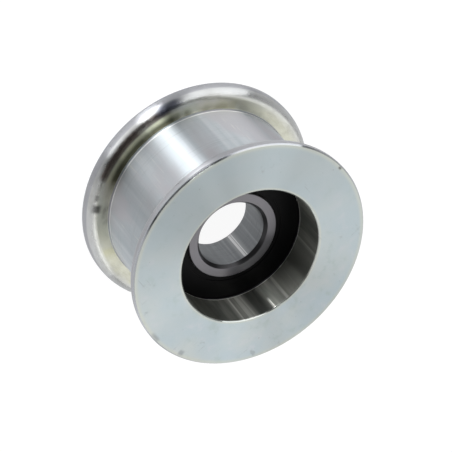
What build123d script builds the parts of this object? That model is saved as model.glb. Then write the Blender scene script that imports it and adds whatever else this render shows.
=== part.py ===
"""Flat belt idler pulley: a flanged steel drum that turns on a sealed deep groove ball bearing.

The pulley stands on its rear face, with its axis along +Z and the origin at the centre of that face.
The front face, with the plain recess over the bearing, looks up. The bearing goes in from the rear
against a shoulder, and a retaining ring holds it there.
"""

import os
from math import cos, radians, sin

from build123d import *

# Pulley body, in millimetres
belt_width = 35.0           # between the flanges
flange_thickness = 5.5      # of each flange, where it meets the drum
flange_height = 8.0         # how far a flange stands out of the drum
drum_wall = 5.0             # over the bearing
rim_land = 1.2              # straight part of a flange's rim
face_chamfer = 0.5          # outer corner of each flange
relief_width = 0.8          # small turned groove at each end of the drum
relief_depth = 0.25
shoulder_height = 4.9       # how far the front shoulder covers the bearing's outer ring
shoulder_chamfer = 0.3
mouth_chamfer = 0.4         # where the recess opens on the front face
lead_chamfer = 1.0          # where the bearing goes in at the rear

# Ball bearing, a 25 x 62 x 17 standard size
bearing_bore = 25.0
bearing_outside = 62.0
bearing_width = 17.0
ball_count = 7
bore_chamfer_radial = 1.1
bore_chamfer_axial = 1.5
outer_ring_chamfer = 1.1
ring_edge_chamfer = 0.3     # small corner around the inner ring's face
race_clearance = 0.05       # between a ball and the bottom of each race
race_conformity = 0.52      # radius of the race's groove, as a share of the ball's diameter
inner_shoulder_drop = 3.45  # from the ball circle in to the inner ring's shoulder
outer_shoulder_rise = 3.55  # from the ball circle out to the outer ring's shoulder
inner_seal_step = 1.35      # from the inner ring's shoulder down to where the seal's lip runs
inner_seal_land = 2.1       # length of that step
outer_seal_step = 1.05      # from the outer ring's shoulder out to its open end
outer_seal_groove = 0.55    # depth of the groove that holds the seal's edge
seat_clearance = 0.01       # between the bearing and its seat in the pulley

# Rubber seals
seal_recess = 0.7           # how far a seal lies inside the ring's face
seal_thickness = 0.85
seal_lip_width = 1.9        # thinner band next to the inner ring
seal_lip_drop = 0.25
seal_lip_clearance = 0.1    # between the lip and the inner ring
seal_edge_clearance = 0.05

# Pressed steel cage, two halves and their rivets
cage_sheet = 0.8
cage_width = 4.8
cage_seal_gap = 0.3
pocket_clearance = 0.1
rivet_diameter = 2.0
rivet_head_diameter = 3.0
rivet_head_height = 0.6
rivet_head_round = 0.35
rivet_clearance = 0.03

# Retaining ring at the rear, with two holes for the pliers
clip_thickness = 2.0
clip_groove_depth = 1.5
clip_groove_play = 0.15
clip_clearance = 0.05
clip_width = 4.45           # mean width of its band
clip_taper = 0.8            # how much wider it is opposite the gap, and narrower beside it
clip_gap = 9.0
clip_lug_radius = 2.9
clip_lug_reach = 4.7        # from the ring's outside in to the centre of each hole
clip_hole_diameter = 2.5
clip_lug_wall = 1.1         # from the gap to the edge of each hole

# Places that follow from those sizes
pulley_width = belt_width + 2 * flange_thickness
drum_radius = bearing_outside / 2 + drum_wall
flange_radius = drum_radius + flange_height
rim_round = flange_thickness - face_chamfer - rim_land
seat_radius = bearing_outside / 2
recess_radius = seat_radius - shoulder_height
middle = pulley_width / 2
half_bearing = bearing_width / 2
shoulder_z = middle + half_bearing
bearing_rear_z = middle - half_bearing
groove_radius = seat_radius + clip_groove_depth
groove_rear_z = bearing_rear_z - clip_thickness - clip_groove_play
middle_plane = Plane.XY.offset(middle)

# The ball is as large as the cage and the seals leave room for
seal_front = half_bearing - seal_recess
seal_back = seal_front - seal_thickness
ball_radius = seal_back - cage_seal_gap - cage_sheet - pocket_clearance
pitch_radius = (bearing_bore + bearing_outside) / 4
race_radius = race_conformity * 2 * ball_radius
inner_shoulder_radius = pitch_radius - inner_shoulder_drop
outer_shoulder_radius = pitch_radius + outer_shoulder_rise
inner_face_radius = inner_shoulder_radius - inner_seal_step
outer_face_radius = outer_shoulder_radius + outer_seal_step
seal_groove_radius = outer_face_radius + outer_seal_groove
ball_step = 360 / ball_count
ball_centres = [
    (pitch_radius * cos(radians(k * ball_step)), pitch_radius * sin(radians(k * ball_step)), middle)
    for k in range(ball_count)
]


def save(piece, name):
    """Label one finished piece and write it as a STEP file of the same name."""
    piece.part.label = name
    export_step(piece.part, f"parts/{name}.step")


# Pulley body: half of the outside is turned and mirrored, then the inside is bored
with BuildPart() as pulley_body:
    with BuildSketch(Plane.XZ):
        with BuildLine():
            rim = Polyline(
                (0, 0),
                (flange_radius - face_chamfer, 0),
                (flange_radius, face_chamfer),
                (flange_radius, face_chamfer + rim_land),
            )
            rounding = TangentArc(
                rim @ 1, (flange_radius - rim_round, flange_thickness), tangent=(0, 1)
            )
            Polyline(
                rounding @ 1,
                (drum_radius - relief_depth, flange_thickness),
                (drum_radius - relief_depth, flange_thickness + relief_width),
                (drum_radius, flange_thickness + relief_width),
                (drum_radius, middle),
                (0, middle),
                (0, 0),
            )
        make_face()
    revolve(axis=Axis.Z)
    mirror(about=middle_plane)
    with BuildSketch(Plane.XZ):
        with BuildLine():
            Polyline(
                (0, 0),
                (seat_radius + lead_chamfer, 0),
                (seat_radius, lead_chamfer),
                (seat_radius, groove_rear_z),
                (groove_radius, groove_rear_z),
                (groove_radius, bearing_rear_z),
                (seat_radius, bearing_rear_z),
                (seat_radius, shoulder_z),
                (recess_radius + shoulder_chamfer, shoulder_z),
                (recess_radius, shoulder_z + shoulder_chamfer),
                (recess_radius, pulley_width - mouth_chamfer),
                (recess_radius + mouth_chamfer, pulley_width),
                (0, pulley_width),
                close=True,
            )
        make_face()
    revolve(axis=Axis.Z, mode=Mode.SUBTRACT)

# Inner ring: its front half and the mirror image, then the race is turned into it
with BuildPart() as bearing_inner_ring:
    with BuildSketch(Plane.XZ):
        with BuildLine():
            top = middle + half_bearing
            bore_radius = bearing_bore / 2
            Polyline(
                (bore_radius, middle),
                (bore_radius, top - bore_chamfer_axial),
                (bore_radius + bore_chamfer_radial, top),
                (inner_face_radius - ring_edge_chamfer, top),
                (inner_face_radius, top - ring_edge_chamfer),
                (inner_face_radius, top - inner_seal_land),
                (inner_shoulder_radius, top - inner_seal_land),
                (inner_shoulder_radius, middle),
                close=True,
            )
        make_face()
    revolve(axis=Axis.Z)
    mirror(about=middle_plane)
    with Locations(middle_plane):
        inner_race_radius = pitch_radius - ball_radius - race_clearance
        Torus(inner_race_radius + race_radius, race_radius, mode=Mode.SUBTRACT)

# Outer ring: made the same way, with a groove at each side for the seal's edge
with BuildPart() as bearing_outer_ring:
    with BuildSketch(Plane.XZ):
        with BuildLine():
            ring_radius = seat_radius - seat_clearance
            Polyline(
                (ring_radius, middle),
                (ring_radius, top - outer_ring_chamfer),
                (ring_radius - outer_ring_chamfer, top),
                (outer_face_radius, top),
                (outer_face_radius, middle + seal_front),
                (seal_groove_radius, middle + seal_front),
                (seal_groove_radius, middle + seal_back),
                (outer_shoulder_radius, middle + seal_back),
                (outer_shoulder_radius, middle),
                close=True,
            )
        make_face()
    revolve(axis=Axis.Z)
    mirror(about=middle_plane)
    with Locations(middle_plane):
        outer_race_radius = pitch_radius + ball_radius + race_clearance
        Torus(outer_race_radius - race_radius, race_radius, mode=Mode.SUBTRACT)

# Balls, evenly spaced on the ball circle
balls = []
for centre in ball_centres:
    with BuildPart() as ball:
        with Locations(centre):
            Sphere(ball_radius)
    balls.append(ball)

# Cage: a flat ribbon with a pressed pocket around each ball, then the mirror image
rivet_start = ball_step / 2
with BuildPart() as cage_front_half:
    with BuildSketch(middle_plane):
        Circle(pitch_radius + cage_width / 2)
        Circle(pitch_radius - cage_width / 2, mode=Mode.SUBTRACT)
    extrude(amount=cage_sheet)
    with Locations(*ball_centres):
        Sphere(ball_radius + pocket_clearance + cage_sheet)
    with BuildSketch(middle_plane):
        Circle(pitch_radius + cage_width / 2)
        Circle(pitch_radius - cage_width / 2, mode=Mode.SUBTRACT)
    extrude(amount=half_bearing, mode=Mode.INTERSECT)
    with Locations(*ball_centres):
        Sphere(ball_radius + pocket_clearance, mode=Mode.SUBTRACT)
    with BuildSketch(middle_plane):
        with PolarLocations(pitch_radius, ball_count, start_angle=rivet_start):
            Circle(rivet_diameter / 2 + rivet_clearance)
    extrude(amount=cage_sheet, mode=Mode.SUBTRACT)

with BuildPart() as cage_rear_half:
    mirror(cage_front_half.part, about=middle_plane)

# Rivets, one between each two balls, with a rounded head on both sides
with BuildPart() as cage_rivets:
    with BuildSketch(middle_plane):
        with PolarLocations(pitch_radius, ball_count, start_angle=rivet_start):
            Circle(rivet_diameter / 2)
    extrude(amount=cage_sheet, both=True)
    for side in (1, -1):
        with BuildSketch(middle_plane.offset(side * cage_sheet)):
            with PolarLocations(pitch_radius, ball_count, start_angle=rivet_start):
                Circle(rivet_head_diameter / 2)
        extrude(amount=side * rivet_head_height)
    ends = cage_rivets.edges().filter_by(GeomType.CIRCLE).group_by(Axis.Z)
    fillet(ends[0] + ends[-1], rivet_head_round)

# Seals: a rubber disc with a thin lip at the inner ring and an edge snapped into the outer ring
with BuildPart() as front_seal:
    with BuildSketch(Plane.XZ):
        with BuildLine():
            lip_radius = inner_face_radius + seal_lip_clearance
            edge_radius = seal_groove_radius - seal_edge_clearance
            Polyline(
                (lip_radius, middle + seal_back),
                (edge_radius, middle + seal_back),
                (edge_radius, middle + seal_front),
                (lip_radius + seal_lip_width, middle + seal_front),
                (lip_radius + seal_lip_width, middle + seal_front - seal_lip_drop),
                (lip_radius, middle + seal_front - seal_lip_drop),
                close=True,
            )
        make_face()
    revolve(axis=Axis.Z)

with BuildPart() as rear_seal:
    mirror(front_seal.part, about=middle_plane)

# Retaining ring: a band that is widest opposite its gap, with a lug on each side of the gap
clip_radius = groove_radius - clip_clearance
lug_centre = clip_radius - clip_lug_reach
lug_offset = clip_gap / 2 + clip_lug_wall + clip_hole_diameter / 2
with BuildPart() as retaining_ring:
    with BuildSketch(Plane.XY.offset(bearing_rear_z)):
        Circle(clip_radius)
        with Locations((clip_taper, 0)):
            Circle(clip_radius - clip_width, mode=Mode.SUBTRACT)
        with Locations((lug_centre, lug_offset), (lug_centre, -lug_offset)):
            Circle(clip_lug_radius)
        with Locations((lug_centre, 0)):
            Rectangle(2 * (clip_lug_reach + clip_lug_radius), clip_gap, mode=Mode.SUBTRACT)
        with Locations((lug_centre, lug_offset), (lug_centre, -lug_offset)):
            Circle(clip_hole_diameter / 2, mode=Mode.SUBTRACT)
    extrude(amount=-clip_thickness)

os.makedirs("parts", exist_ok=True)
save(pulley_body, "pulley_body")
save(bearing_inner_ring, "bearing_inner_ring")
save(bearing_outer_ring, "bearing_outer_ring")
save(cage_front_half, "cage_front_half")
save(cage_rear_half, "cage_rear_half")
save(cage_rivets, "cage_rivets")
save(front_seal, "front_seal")
save(rear_seal, "rear_seal")
save(retaining_ring, "retaining_ring")
for number, ball in enumerate(balls, start=1):
    save(ball, f"ball_{number}")
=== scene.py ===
from math import cos, pi, radians, sin

import bpy
from mathutils import Matrix, Vector


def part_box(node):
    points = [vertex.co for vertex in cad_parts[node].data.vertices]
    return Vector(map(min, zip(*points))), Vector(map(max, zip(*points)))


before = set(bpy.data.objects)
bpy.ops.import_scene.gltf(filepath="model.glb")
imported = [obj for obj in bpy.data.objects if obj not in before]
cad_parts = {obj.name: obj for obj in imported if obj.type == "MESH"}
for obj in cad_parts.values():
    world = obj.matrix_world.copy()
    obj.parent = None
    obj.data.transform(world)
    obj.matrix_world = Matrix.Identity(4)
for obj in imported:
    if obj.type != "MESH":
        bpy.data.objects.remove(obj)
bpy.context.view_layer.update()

MM = 0.001

# The pulley's sizes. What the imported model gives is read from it, and the rest is as it was turned
body_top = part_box("pulley_body")[1]
FLANGE_RADIUS = body_top.x
WIDTH = body_top.z
HALF_WIDTH = WIDTH / 2
DRUM_RADIUS = 36 * MM
RECESS_RADIUS = 26.1 * MM
BORE_RADIUS = 12.5 * MM
FLANGE_THICKNESS = 5.5 * MM
GROOVE_WIDTH = 0.8 * MM
SHOULDER_CHAMFER = 0.3 * MM
SHOULDER_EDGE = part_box("bearing_outer_ring")[1].z + SHOULDER_CHAMFER

# Colours of the zinc plate, with a painted shade for the faces
BLUE_ZINC = (0.455, 0.525, 0.555)
PALE_ZINC = (0.515, 0.555, 0.55)
BRIGHT_MOTTLE = (0.56, 0.57, 0.60)
DARK_MOTTLE = (0.40, 0.47, 0.46)
PAINTED_SHADE_ZINC = (0.38, 0.43, 0.445)
STRAW_EDGE = (0.57, 0.57, 0.48)
ROUGH_RIM = (0.385, 0.39, 0.42)

# Colours of the drum: bands that are partly painted reflections, turning rings, scratches and a painted edge
# highlight
DARK_BAND_AND_REFLECTION = (0.425, 0.464, 0.493)
PALE_BAND_AND_REFLECTION = (0.515, 0.546, 0.572)
WARM_BAND_AND_REFLECTION = (0.475, 0.468, 0.495)
TURNING_RING = (0.27, 0.28, 0.30)
CROSSED_SCRATCH = (0.66, 0.66, 0.62)
PAINTED_EDGE_HIGHLIGHT = (0.97, 0.97, 0.97)

# Colours of the flanges' belt sides, with painted shade and painted dark reflections among them
BELT_SIDE_GREY = (0.56, 0.56, 0.56)
STRAW = (0.59, 0.59, 0.47)
BROWN_AND_SHADE = (0.16, 0.15, 0.10)
OIL_STAIN = (0.57, 0.56, 0.36)
PAINTED_ROOT_SHADE = (0.06, 0.058, 0.034)
PAINTED_BEND_REFLECTION = (0.078, 0.05, 0.038)
SCUFF = (0.05, 0.05, 0.05)
SMEAR = (0.15, 0.15, 0.14)
PAINTED_BLUE_REFLECTION = (0.05, 0.058, 0.09)

# Colours of the marks on the faces
SCRATCH = (0.30, 0.32, 0.33)
SPECK = (0.20, 0.20, 0.20)
NICK = (0.10, 0.10, 0.10)
BRUISE = (0.24, 0.26, 0.28)
SMUDGE = (0.34, 0.37, 0.38)

# Colours of the bare steel in the recess, with its painted highlights
DARK_STEEL = (0.13, 0.137, 0.125)
PALE_STEEL = (0.34, 0.345, 0.31)
FINE_STREAK = (0.70, 0.69, 0.62)
PAINTED_STREAK_HIGHLIGHT = (0.85, 0.85, 0.80)
PAINTED_LIP_HIGHLIGHT = (0.97, 0.97, 0.93)

# Colours of the bearing's rings, with a painted highlight and a painted shade among them
DARK_HONED = (0.32, 0.335, 0.35)
PALE_HONED = (0.50, 0.515, 0.54)
HONING_RING = (0.22, 0.23, 0.24)
PAINTED_BORE_HIGHLIGHT = (0.97, 0.97, 0.98)
PALE_GROUND = (0.205, 0.20, 0.213)
DARK_GROUND = (0.165, 0.16, 0.17)
PAINTED_RING_SHADE = (0.045, 0.046, 0.048)

# Colours of the other pieces
BALL_STEEL = (0.75, 0.75, 0.76)
PRESSED_STEEL = (0.50, 0.50, 0.51)
SPRING_STEEL = (0.10, 0.10, 0.105)
BLACK_RUBBER = (0.002, 0.002, 0.0024)

# Depths of the fine marks
TOOL_MARK = 0.002 * MM
RUBBER_GRAIN = 0.02 * MM

# Turns the stretched gloss by a quarter, so that it lies right for marks that run round the axis
QUARTER_TURN = 0.25

# Sockets that Blender tells apart only by their number
GENERATED, OBJECT = 0, 3
MIX_LOW, MIX_HIGH, MIX_RESULT = 6, 7, 2
SECOND_SHARE, FIRST_SHADER, SECOND_SHADER = 0, 1, 2


class Value:
    """One number that varies over a surface, so that sums on it add Math nodes."""

    def __init__(self, nodes, socket):
        self.nodes = nodes
        self.socket = socket

    def _math(self, operation, *terms):
        return self.nodes.add("ShaderNodeMath", {"operation": operation}, dict(enumerate(terms)))

    def __add__(self, other):
        return self._math("ADD", self, other)

    def __radd__(self, other):
        return self._math("ADD", other, self)

    def __sub__(self, other):
        return self._math("SUBTRACT", self, other)

    def __rsub__(self, other):
        return self._math("SUBTRACT", other, self)

    def __mul__(self, other):
        return self._math("MULTIPLY", self, other)

    def __rmul__(self, other):
        return self._math("MULTIPLY", other, self)

    def __truediv__(self, other):
        return self._math("DIVIDE", self, other)

    def __rtruediv__(self, other):
        return self._math("DIVIDE", other, self)

    def __pow__(self, other):
        return self._math("POWER", self, other)

    def larger(self, other):
        """The larger of this value and another."""
        return self._math("MAXIMUM", self, other)

    def size(self):
        """How far this value is from 0."""
        return self._math("ABSOLUTE", self)

    def angle_from(self, across):
        """The angle in radians from +X, where this is the part along Y and across the part along X."""
        return self._math("ARCTAN2", self, across)


class Nodes:
    """A node tree, with one method that adds any node and sets its inputs."""

    def __init__(self, tree):
        self.tree = tree

    def add(self, kind, settings=None, inputs=None, output=0):
        node = self.tree.nodes.new(kind)
        for name, value in (settings or {}).items():
            setattr(node, name, value)
        for name, value in (inputs or {}).items():
            self.plug(node.inputs[name], value)
        return Value(self, node.outputs[output])

    def plug(self, socket, value):
        if isinstance(value, Value):
            self.tree.links.new(value.socket, socket)
        elif socket.type == "RGBA":
            socket.default_value = (*value, 1.0)
        else:
            socket.default_value = value

    def split(self, vector):
        """The three parts of a vector, as values."""
        parts = self.add("ShaderNodeSeparateXYZ", None, {"Vector": vector}).socket.node
        return [Value(self, part) for part in parts.outputs]

    def rays(self, *names):
        """For each name of a kind of ray, a value that is 1 for that kind and 0 for others."""
        outputs = self.add("ShaderNodeLightPath").socket.node.outputs
        return [Value(self, outputs[name]) for name in names]

    def noise(self, scale, place, detail=3.0, roughness=0.5):
        return self.add(
            "ShaderNodeTexNoise",
            {"noise_dimensions": "3D"},
            {"Vector": place, "Scale": scale, "Detail": detail, "Roughness": roughness},
        )

    def window(self, value, start, end, low=0.0, high=1.0):
        """Low where the value is at start, high where it is at end, and smooth in between."""
        return self.add(
            "ShaderNodeMapRange",
            {"interpolation_type": "SMOOTHSTEP"},
            {"Value": value, "From Min": start, "From Max": end, "To Min": low, "To Max": high},
        )

    def mixed(self, low, high, share):
        """A colour that is low where the share is 0 and high where it is 1."""
        colours = {"Factor": share, MIX_LOW: low, MIX_HIGH: high}
        return self.add("ShaderNodeMix", {"data_type": "RGBA"}, colours, output=MIX_RESULT)


class Finish(Nodes):
    """A material, with its shader."""

    def __init__(self, name):
        self.material = bpy.data.materials.new(name)
        self.material.use_nodes = True
        super().__init__(self.material.node_tree)
        self.shader = self.tree.nodes["Principled BSDF"]

    def set(self, **sockets):
        for name, value in sockets.items():
            self.plug(self.shader.inputs[name.replace("_", " ")], value)

    def where(self):
        """The place of each point of the surface, in metres."""
        return self.add("ShaderNodeTexCoord", output=OBJECT)

    def bump(self, height, distance):
        return self.add("ShaderNodeBump", None, {"Height": height, "Distance": distance, "Strength": 1.0})


class Turned(Finish):
    """A finish whose marks run round the pulley's axis, as a lathe leaves them."""

    # The middle of a line that is at full strength, as a share of its half width
    LINE_CORE = 0.3

    def __init__(self, name):
        super().__init__(name)
        self.place = self.where()
        across, away, self.height = self.split(self.place)
        self.radius = (across * across + away * away) ** 0.5
        self.angle = away.angle_from(across)

        # The parts along X and Y of the direction straight out from the axis
        self.east = across / self.radius
        self.north = away / self.radius

    def grain(self, radial=0.0, axial=0.0, angular=0.0, start=0.0, detail=3.0, roughness=0.5):
        """Noise with so many cells for each metre, and for each radian of turn, without a seam."""
        along = self.radius * radial + self.height * axial + start
        sockets = {"X": self.east * angular, "Y": self.north * angular, "Z": along}
        place = self.add("ShaderNodeCombineXYZ", None, sockets)
        return self.noise(1.0, place, detail, roughness)

    def scratches(self, fine, long, tilt):
        """Noise drawn out into marks that run one way, at a tilt in degrees round the axis."""
        place = self.add(
            "ShaderNodeMapping",
            None,
            {"Vector": self.place, "Rotation": (0.0, 0.0, radians(tilt)), "Scale": (fine, long, long)},
        )
        return self.noise(1.0, place, detail=2.0)

    def line(self, at, width):
        """1 along a line parallel to the axis, at an angle in degrees from +X, and 0 beside it."""
        return self.window((self.angle - radians(at)).size(), radians(width), radians(width) * self.LINE_CORE)

    def hoop(self, radius, reach, core=0.0):
        """1 at a distance from the axis, and 0 where that is out by more than the reach."""
        return self.window((self.radius - radius).size(), reach, core)

    def spot(self, at, width, radius, reach, core=0.0):
        """1 where a line crosses a hoop, and 0 round it."""
        return self.line(at, width) * self.hoop(radius, reach, core)


class BodyFinish(Turned):
    """The pulley body's finish, with masks that are 1 on one part of the body and 0 on the rest."""

    def __init__(self, name):
        super().__init__(name)
        self.from_middle = (self.height - HALF_WIDTH).size()
        self.on_face = self.window(self.from_middle, HALF_WIDTH - 0.3 * MM, HALF_WIDTH - 0.1 * MM)
        self.on_flange = self.window(self.radius, DRUM_RADIUS + 0.1 * MM, DRUM_RADIUS + 0.6 * MM)
        behind_face = self.window(self.from_middle, HALF_WIDTH - 0.7 * MM, HALF_WIDTH - 1.3 * MM)
        self.belt_side = self.on_flange * behind_face
        self.on_drum = (1 - self.on_flange) * (1 - self.on_face)
        self.recessed = self.window(self.radius, RECESS_RADIUS + 0.25 * MM, RECESS_RADIUS + 0.05 * MM)
        self.rim = self.window(self.radius, FLANGE_RADIUS - 0.5 * MM, FLANGE_RADIUS - 0.4 * MM)
        near_recess = self.window(self.radius, RECESS_RADIUS + 0.5 * MM, RECESS_RADIUS + 0.4 * MM)
        self.mouth = near_recess * (1 - self.recessed)

        # Unevenness that several layers share
        self.cloud = self.noise(45.0, self.place, detail=4.0, roughness=0.55)
        self.mottle = self.noise(210.0, self.place, detail=4.0, roughness=0.6)
        self.worn = self.window(self.noise(70.0, self.place, detail=2.0), 0.52, 0.62)


def plate_colour(finish):
    """Zinc with a faint blue tint, clouded and mottled."""
    plated = finish.mixed(BLUE_ZINC, PALE_ZINC, finish.window(finish.cloud, 0.35, 0.65))
    plated = finish.mixed(plated, BRIGHT_MOTTLE, finish.window(finish.mottle, 0.52, 0.75) * 0.6)
    return finish.mixed(plated, DARK_MOTTLE, finish.window(finish.mottle, 0.46, 0.28) * 0.6)


def drum_colour(finish):
    """Greyer zinc, with faint bands and a warm tint along the axis that are partly painted reflections,
    turning rings round it and crossed scratches.
    """
    band = finish.grain(axial=10.0, angular=8.0, start=1.8, detail=5.0, roughness=0.6)
    ring = finish.grain(axial=1500.0, angular=1.8, detail=4.0, roughness=0.7)
    warm = finish.grain(axial=25.0, angular=2.2, start=92.0)
    hatch = finish.grain(axial=90.0, angular=110.0, detail=2.0)
    # Bands and a warm tint whose noise is placed to fall where the drum mirrors lighter, darker and warmer
    # surroundings: partly painted reflections
    grey = finish.mixed(DARK_BAND_AND_REFLECTION, PALE_BAND_AND_REFLECTION, finish.window(band, 0.34, 0.66))
    grey = finish.mixed(grey, TURNING_RING, finish.window(ring, 0.53, 0.72) * 0.35)
    grey = finish.mixed(grey, WARM_BAND_AND_REFLECTION, finish.window(warm, 0.46, 0.60) * 0.8)
    return finish.mixed(grey, CROSSED_SCRATCH, finish.window(hatch, 0.60, 0.72) * finish.worn * 0.6)


def painted_side_shade(finish, plated):
    """Painted shade: the faces grow darker across their width, towards -X and more towards -Y."""
    east_share, north_share = 0.5, 0.87
    aside = finish.east * finish.radius * east_share + finish.north * finish.radius * north_share
    return finish.mixed(plated, PAINTED_SHADE_ZINC, finish.window(aside, 34 * MM, -34 * MM) * finish.on_face * 0.75)


def belt_sides(finish, plated):
    """The belt sides are less blue, with more straw tint, uneven brown patches that are partly painted shade,
    a stain, knocks, and painted shade and dark reflections in the root, where the flange bends and near its
    edge.
    """
    side = finish.belt_side
    radius = finish.radius
    plated = finish.mixed(plated, BELT_SIDE_GREY, side * 0.8)
    straw = side * finish.window(radius, FLANGE_RADIUS - 1 * MM, DRUM_RADIUS + 2 * MM)
    plated = finish.mixed(plated, STRAW, straw * 0.75)
    # Uneven brown patches, partly painted shade: their noise is placed to fall dark where the belt side
    # mirrors dark surroundings
    brown_and_shade_noise = finish.grain(radial=220.0, angular=3.0, start=19.7, detail=5.0, roughness=0.65)
    plated = finish.mixed(plated, BROWN_AND_SHADE, side * finish.window(brown_and_shade_noise, 0.46, 0.72) * 0.3)

    # Painted shade darkens the root of the flange and a painted dark reflection the band where it bends
    # outwards, both broken up by noise, with a stain round them
    root = finish.window(radius, DRUM_RADIUS + 3.6 * MM, DRUM_RADIUS + 1.6 * MM)
    bend = finish.hoop(DRUM_RADIUS + 5.4 * MM, 1.8 * MM, 0.7 * MM)
    stain = finish.window(radius, DRUM_RADIUS + 5.0 * MM, DRUM_RADIUS + 3.6 * MM)
    stain_and_shade_noise = finish.grain(radial=20.0, angular=1.6, start=65.5, detail=4.0)
    stain_and_shade = side * finish.window(stain_and_shade_noise, 0.44, 0.54)
    plated = finish.mixed(plated, OIL_STAIN, stain_and_shade * stain * 0.6)
    plated = finish.mixed(plated, PAINTED_ROOT_SHADE, stain_and_shade * root * finish.line(-84.0, 80.0) * 0.9)
    plated = finish.mixed(plated, PAINTED_BEND_REFLECTION, stain_and_shade * bend * finish.line(-80.0, 56.0) * 0.85)

    # A scuff with a spot and a smear beside it, and a painted dark blue reflection near the flange's edge
    scuff = finish.spot(-42.5, 3.4, DRUM_RADIUS + 4.8 * MM, 2.4 * MM, 0.4 * MM)
    beside = finish.spot(-48.5, 2.5, DRUM_RADIUS + 5.4 * MM, 1.2 * MM)
    plated = finish.mixed(plated, SCUFF, side * (scuff + beside * 0.7) * 0.85)
    smear = finish.line(-39.0, 9.0) * root * finish.window(finish.mottle, 0.35, 0.6)
    plated = finish.mixed(plated, SMEAR, side * smear * 0.6)
    blue_reflection = finish.spot(-106.5, 10.0, DRUM_RADIUS + 6.3 * MM, 2.0 * MM, 0.7 * MM)
    return finish.mixed(plated, PAINTED_BLUE_REFLECTION, side * blue_reflection * 0.85)


def edges(finish, plated):
    """Straw tint towards the faces' edges, a rougher rim, and a painted highlight along the drum's edges at
    its grooves.
    """
    outer = finish.window(finish.radius, FLANGE_RADIUS - 2.2 * MM, FLANGE_RADIUS - 0.8 * MM)
    inner = finish.window(finish.radius, RECESS_RADIUS + 1.4 * MM, RECESS_RADIUS + 0.7 * MM)
    plated = finish.mixed(plated, STRAW_EDGE, (outer + inner) * finish.on_face * 0.45)
    land = finish.window(finish.radius, FLANGE_RADIUS - 0.5 * MM, FLANGE_RADIUS - 0.3 * MM)
    plated = finish.mixed(plated, ROUGH_RIM, land * 0.8)
    # A painted highlight along the drum's edge beside each groove
    past_edge = finish.from_middle + (FLANGE_THICKNESS + GROOVE_WIDTH - HALF_WIDTH)
    edge_highlight = finish.window(past_edge, -0.4 * MM, -0.3 * MM) * finish.window(past_edge, 0.02 * MM, 0.0)
    return finish.mixed(plated, PAINTED_EDGE_HIGHLIGHT, edge_highlight * finish.on_drum)


def face_wear(finish, plated):
    """Fine scratches, specks, a nick, two bruises and smudges on the faces, from handling."""
    face = finish.on_face
    one_way = finish.scratches(2600.0, 170.0, 25.0)
    other_way = finish.scratches(150.0, 2300.0, -10.0)
    scratched = finish.window(one_way, 0.67, 0.74) + finish.window(other_way, 0.68, 0.75)
    plated = finish.mixed(plated, SCRATCH, scratched * finish.worn * face * 0.7)
    specks = finish.window(finish.noise(800.0, finish.place), 0.73, 0.77)
    plated = finish.mixed(plated, SPECK, specks * face * 0.6)
    nick = finish.spot(-174.0, 1.3, FLANGE_RADIUS - 1.0 * MM, 0.8 * MM)
    plated = finish.mixed(plated, NICK, nick * face * 0.85)
    bruises = finish.spot(-1.0, 4.0, FLANGE_RADIUS - 1.2 * MM, 1.2 * MM)
    bruises = bruises + finish.spot(17.5, 2.2, FLANGE_RADIUS - 1.9 * MM, 1.6 * MM, 0.3 * MM)
    bruises = bruises * finish.window(finish.mottle, 0.28, 0.5)
    plated = finish.mixed(plated, BRUISE, bruises * face * 0.6)
    smudges = finish.noise(300.0, finish.place, detail=4.0, roughness=0.6)
    smudges = finish.window(smudges, 0.61, 0.72)
    return finish.mixed(plated, SMUDGE, smudges * finish.worn * face * 0.7)


def recess_colour(finish):
    """Bare steel with streaks along the axis that are partly painted highlights, and painted highlights on
    one side, in a few bright lines and at the wall's lower end.
    """
    # The noise of both kinds of streak is placed to fall bright where the wall mirrors lamps, so they are
    # partly painted highlights
    broad = finish.grain(axial=14.0, angular=3.5, start=65.9, detail=4.0, roughness=0.55)
    fine = finish.grain(axial=12.0, angular=24.0, start=60.7, detail=4.0, roughness=0.6)
    bare = finish.mixed(DARK_STEEL, PALE_STEEL, finish.window(broad, 0.42, 0.68))
    # A painted highlight: paler on one side
    bare = finish.mixed(bare, PALE_STEEL, finish.line(112.0, 30.0) * 0.6)
    bare = finish.mixed(bare, FINE_STREAK, finish.window(fine, 0.58, 0.78) * 0.35)
    near_lip = finish.window(finish.height, WIDTH - 7 * MM, WIDTH - 4 * MM)
    # Painted highlights: a few bright lines where the wall mirrors lamps
    painted_streaks = finish.line(57.0, 10.0) * 0.45 + finish.line(53.5, 2.5) * 0.5 + finish.line(91.0, 2.0) * 0.5
    painted_streaks = painted_streaks + finish.line(131.0, 1.8) * 0.45 + finish.line(79.0, 2.2) * near_lip * 0.9
    bare = finish.mixed(bare, PAINTED_STREAK_HIGHLIGHT, painted_streaks * finish.window(fine, 0.35, 0.6))
    # A painted highlight along the wall's lower end
    lip = finish.window(finish.height, SHOULDER_EDGE + 0.3 * MM, SHOULDER_EDGE + 0.2 * MM)
    return finish.mixed(bare, PAINTED_LIP_HIGHLIGHT, lip)


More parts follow.
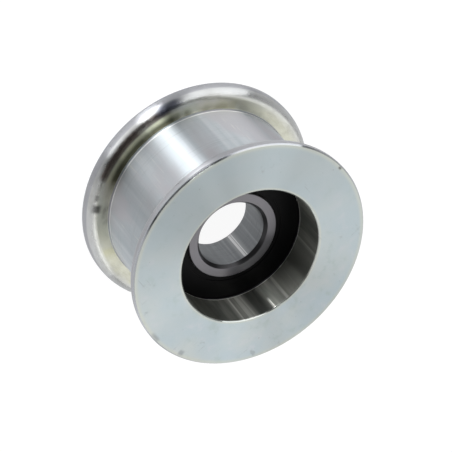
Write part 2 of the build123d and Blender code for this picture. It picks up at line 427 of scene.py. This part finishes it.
def zinc(name):
    """Bright zinc plating on the outside, with a faint blue and straw tint, and bare steel in the recess."""
    finish = BodyFinish(name)
    plated = finish.mixed(plate_colour(finish), drum_colour(finish), finish.on_drum)
    plated = painted_side_shade(finish, plated)
    plated = belt_sides(finish, plated)
    plated = edges(finish, plated)
    plated = face_wear(finish, plated)

    # The belt sides, the rim and the recess's mouth are glossier than the rest
    outer = finish.window(finish.radius, FLANGE_RADIUS - 3.0 * MM, FLANGE_RADIUS - 1.0 * MM)
    polish = finish.belt_side * (1 - outer * 0.55)
    polish = polish.larger(finish.rim * (1 - finish.belt_side)).larger(finish.mouth)
    flat = finish.on_face * (1 - finish.rim) * (1 - finish.mouth)
    roughness = 0.42 - polish * 0.25 - finish.recessed * 0.08 - flat * 0.12
    unevenness = (finish.cloud - 0.5) * 0.06 + (finish.mottle - 0.45) * finish.belt_side * 0.3
    marks = finish.grain(radial=9000.0, axial=9000.0, angular=3.0, detail=2.0)
    finish.set(
        Base_Color=finish.mixed(plated, recess_colour(finish), finish.recessed),
        Metallic=1.0,
        Roughness=roughness + unevenness,
        Anisotropic=1.0,
        Anisotropic_Rotation=QUARTER_TURN,
        Normal=finish.bump(marks, TOOL_MARK),
    )
    return finish


def hidden_steel(name, colour, roughness):
    """Plain steel for the pieces inside the bearing and at the rear."""
    finish = Finish(name)
    darker = 0.8
    shade = tuple(darker * part for part in colour)
    finish.set(
        Base_Color=finish.mixed(colour, shade, finish.noise(60.0, finish.where())),
        Metallic=1.0,
        Roughness=roughness,
        Anisotropic=0.8,
        Anisotropic_Rotation=QUARTER_TURN,
    )
    return finish


def ring_steel(name):
    """Ground bearing steel, with fine rings on its faces, faint streaks and painted highlights along its
    bore, and painted shade on its faces.
    """
    finish = Turned(name)
    streak = finish.grain(axial=15.0, angular=7.0, start=51.8, detail=5.0, roughness=0.6)
    rings = finish.grain(radial=2500.0, axial=2500.0, angular=2.0, roughness=0.6)
    honed = finish.mixed(DARK_HONED, PALE_HONED, finish.window(streak, 0.45, 0.75))
    honed = finish.mixed(honed, HONING_RING, finish.window(rings, 0.5, 0.75) * 0.5)
    # Painted highlights: bright streaks along the bore where it mirrors a lamp
    painted_streaks = finish.line(84.0, 3.0) + finish.line(88.0, 1.4) * 0.8 + finish.line(86.0, 12.0) * 0.2
    honed = finish.mixed(honed, PAINTED_BORE_HIGHLIGHT, painted_streaks)

    # Painted shade, standing for dark reflections, darkens the faces on one side, and the bevel of the bore
    # more than the rest
    ring_shade = finish.window(finish.north, 0.62, 0.88) * 0.6
    bevel = finish.window(finish.radius, BORE_RADIUS + 1.1 * MM, BORE_RADIUS + 0.9 * MM)
    ring_shade = ring_shade.larger(bevel * finish.window(finish.north, -0.3, 0.3) * 0.7)
    faces = finish.mixed(finish.mixed(PALE_GROUND, DARK_GROUND, rings), PAINTED_RING_SHADE, ring_shade)

    bore = finish.window(finish.radius, BORE_RADIUS + 0.08 * MM, BORE_RADIUS + 0.04 * MM)
    finish.set(
        Base_Color=finish.mixed(faces, honed, bore),
        Metallic=1.0,
        Roughness=finish.window(bore, 0.0, 1.0, low=0.32, high=0.36),
        Anisotropic=0.8,
        Anisotropic_Rotation=QUARTER_TURN,
        Normal=finish.bump(rings, TOOL_MARK),
    )
    return finish


def rubber(name):
    """Black rubber with a fine grain."""
    finish = Finish(name)
    grain = finish.noise(400.0, finish.where())
    finish.set(
        Base_Color=BLACK_RUBBER,
        Specular_IOR_Level=0.1,
        Roughness=finish.window(grain, 0.0, 1.0, low=0.35, high=0.5),
        Normal=finish.bump(grain, RUBBER_GRAIN),
    )
    return finish


def paint(name, finish):
    """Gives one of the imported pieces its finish."""
    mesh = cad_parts[name].data
    mesh.materials.clear()
    mesh.materials.append(finish.material)


plating = zinc("zinc_plate")
bearing = ring_steel("bearing_steel")
polished = hidden_steel("ball_steel", BALL_STEEL, roughness=0.08)
pressed = hidden_steel("pressed_steel", PRESSED_STEEL, roughness=0.35)
spring = hidden_steel("spring_steel", SPRING_STEEL, roughness=0.4)
black = rubber("seal_rubber")

paint("pulley_body", plating)
paint("bearing_inner_ring", bearing)
paint("bearing_outer_ring", bearing)
paint("front_seal", black)
paint("rear_seal", black)
paint("retaining_ring", spring)
for name in ("cage_front_half", "cage_rear_half", "cage_rivets"):
    paint(name, pressed)
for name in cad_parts:
    if name.startswith("ball_"):
        paint(name, polished)

# Camera, worked out from where the front face shows in the picture
PICTURE = 452
FOCAL_PIXELS = 2027.0
FACE_CENTRE = (251.33, 257.06)      # pixel of the front face's centre
FACE_DISTANCE = 695.3 * MM          # from the camera to that centre, measured along the camera's aim
AXIS_LEAN = radians(41.43)          # between the pulley's axis and the camera's aim
AXIS_TURN = radians(49.27)          # how far below the right the axis points in the picture
SENSOR = 36.0
NEAREST = 10 * MM

axis_seen = Vector((
    sin(AXIS_LEAN) * cos(AXIS_TURN),
    -sin(AXIS_LEAN) * sin(AXIS_TURN),
    cos(AXIS_LEAN),
))
to_camera = Vector((
    -(FACE_CENTRE[0] - PICTURE / 2) / FOCAL_PIXELS * FACE_DISTANCE,
    (FACE_CENTRE[1] - PICTURE / 2) / FOCAL_PIXELS * FACE_DISTANCE,
    FACE_DISTANCE,
))
sideways = to_camera - to_camera.dot(axis_seen) * axis_seen
away = -sideways.normalized()
across = away.cross(axis_seen)
turn = Matrix((across, away, axis_seen))
face_centre = Vector((0, 0, WIDTH))

camera_data = bpy.data.cameras.new("camera")
camera_data.sensor_width = SENSOR
camera_data.lens = FOCAL_PIXELS / PICTURE * SENSOR
camera_data.clip_start = NEAREST
camera = bpy.data.objects.new("camera", camera_data)
camera.matrix_world = Matrix.Translation(face_centre + turn @ to_camera) @ turn.to_4x4()
bpy.context.scene.collection.objects.link(camera)
bpy.context.scene.camera = camera

# The lamps all face the middle of the pulley
AIM = Vector((0, 0, HALF_WIDTH))


def panel(name, turned, raised, distance, width, height, brightness):
    """A soft rectangular lamp. Turned 0 is straight behind the pulley, 90 to its +X side."""
    lamp = bpy.data.lights.new(name, "AREA")
    lamp.shape = "RECTANGLE"
    lamp.size = width
    lamp.size_y = height
    lamp.energy = brightness * pi * width * height
    holder = bpy.data.objects.new(name, lamp)
    flat = distance * cos(radians(raised))
    place = AIM + Vector((
        flat * sin(radians(turned)),
        flat * cos(radians(turned)),
        distance * sin(radians(raised)),
    ))
    facing = (AIM - place).to_track_quat("-Z", "Y")
    holder.matrix_world = Matrix.Translation(place) @ facing.to_matrix().to_4x4()
    bpy.context.scene.collection.objects.link(holder)


panel("far_panel", turned=0, raised=47, distance=1.2, width=1.7, height=1.5, brightness=1.08)
panel("near_panel", turned=193, raised=10, distance=0.8, width=0.26, height=0.34, brightness=13.5)
panel("near_soft_panel", turned=165.5, raised=9, distance=0.8, width=0.52, height=0.32, brightness=3.0)
panel("left_panel", turned=250, raised=30, distance=1.0, width=0.88, height=1.1, brightness=1.8)
panel("far_left_panel", turned=305, raised=32, distance=1.1, width=0.75, height=0.7, brightness=0.3)
panel("right_panel", turned=85, raised=30, distance=1.0, width=1.5, height=1.1, brightness=0.75)

# Plain pale floor. Mostly it glows white to the camera and through glass, it glows about half as much in
# polished metal, and it keeps a soft shadow
WHITE = (1, 1, 1)
FLOOR_PAINT = (0.9, 0.9, 0.9)
FLOOR_REACH = 4.0
FLOOR_GAP = 0.02 * MM               # between the floor and the pulley's rear face
FLOOR_GLOW = 1.1
OWN_LIGHT = 0.85                    # share of the glow that the camera and glass see
MIRRORED_LIGHT = 0.5                # share of it that polished metal mirrors

corners = [(x * FLOOR_REACH, y * FLOOR_REACH, 0) for x, y in ((-1, -1), (1, -1), (1, 1), (-1, 1))]
floor_mesh = bpy.data.meshes.new("floor")
floor_mesh.from_pydata(corners, [], [(0, 1, 2, 3)])
floor = bpy.data.objects.new("floor", floor_mesh)
floor.location.z = -FLOOR_GAP
bpy.context.scene.collection.objects.link(floor)

pale = Finish("floor")
pale.set(Base_Color=FLOOR_PAINT, Roughness=0.9)
camera_ray, mirror_ray, glass_ray = pale.rays("Is Camera Ray", "Is Glossy Ray", "Is Transmission Ray")
own_light = (camera_ray.larger(glass_ray) * OWN_LIGHT).larger(mirror_ray * MIRRORED_LIGHT)
painted = Value(pale, pale.shader.outputs[0])
glow = pale.add("ShaderNodeEmission", None, {"Color": WHITE, "Strength": FLOOR_GLOW})
both = {SECOND_SHARE: own_light, FIRST_SHADER: painted, SECOND_SHADER: glow}
shown = pale.add("ShaderNodeMixShader", None, both)
pale.plug(pale.tree.nodes["Material Output"].inputs["Surface"], shown)
floor_mesh.materials.append(pale.material)

# Room: bright round the horizon, with a dim ceiling, and white to the camera and through glass
HORIZON_LIGHT = 0.8
CEILING_LIGHT = 0.1
DIMS_FROM, DIMS_TO = 0.1, 0.3       # upward parts of the direction, where it starts and ends to dim

world = bpy.data.worlds.new("studio")
world.use_nodes = True
bpy.context.scene.world = world
room = Nodes(world.node_tree)
raised = room.split(room.add("ShaderNodeTexCoord", output=GENERATED))[2]
lit = room.window(raised, DIMS_FROM, DIMS_TO, HORIZON_LIGHT, CEILING_LIGHT)
camera_ray, glass_ray = room.rays("Is Camera Ray", "Is Transmission Ray")
background = world.node_tree.nodes["Background"]
room.plug(background.inputs["Color"], WHITE)
room.plug(background.inputs["Strength"], lit.larger(camera_ray).larger(glass_ray))
bpy.context.scene.view_settings.view_transform = "Standard"
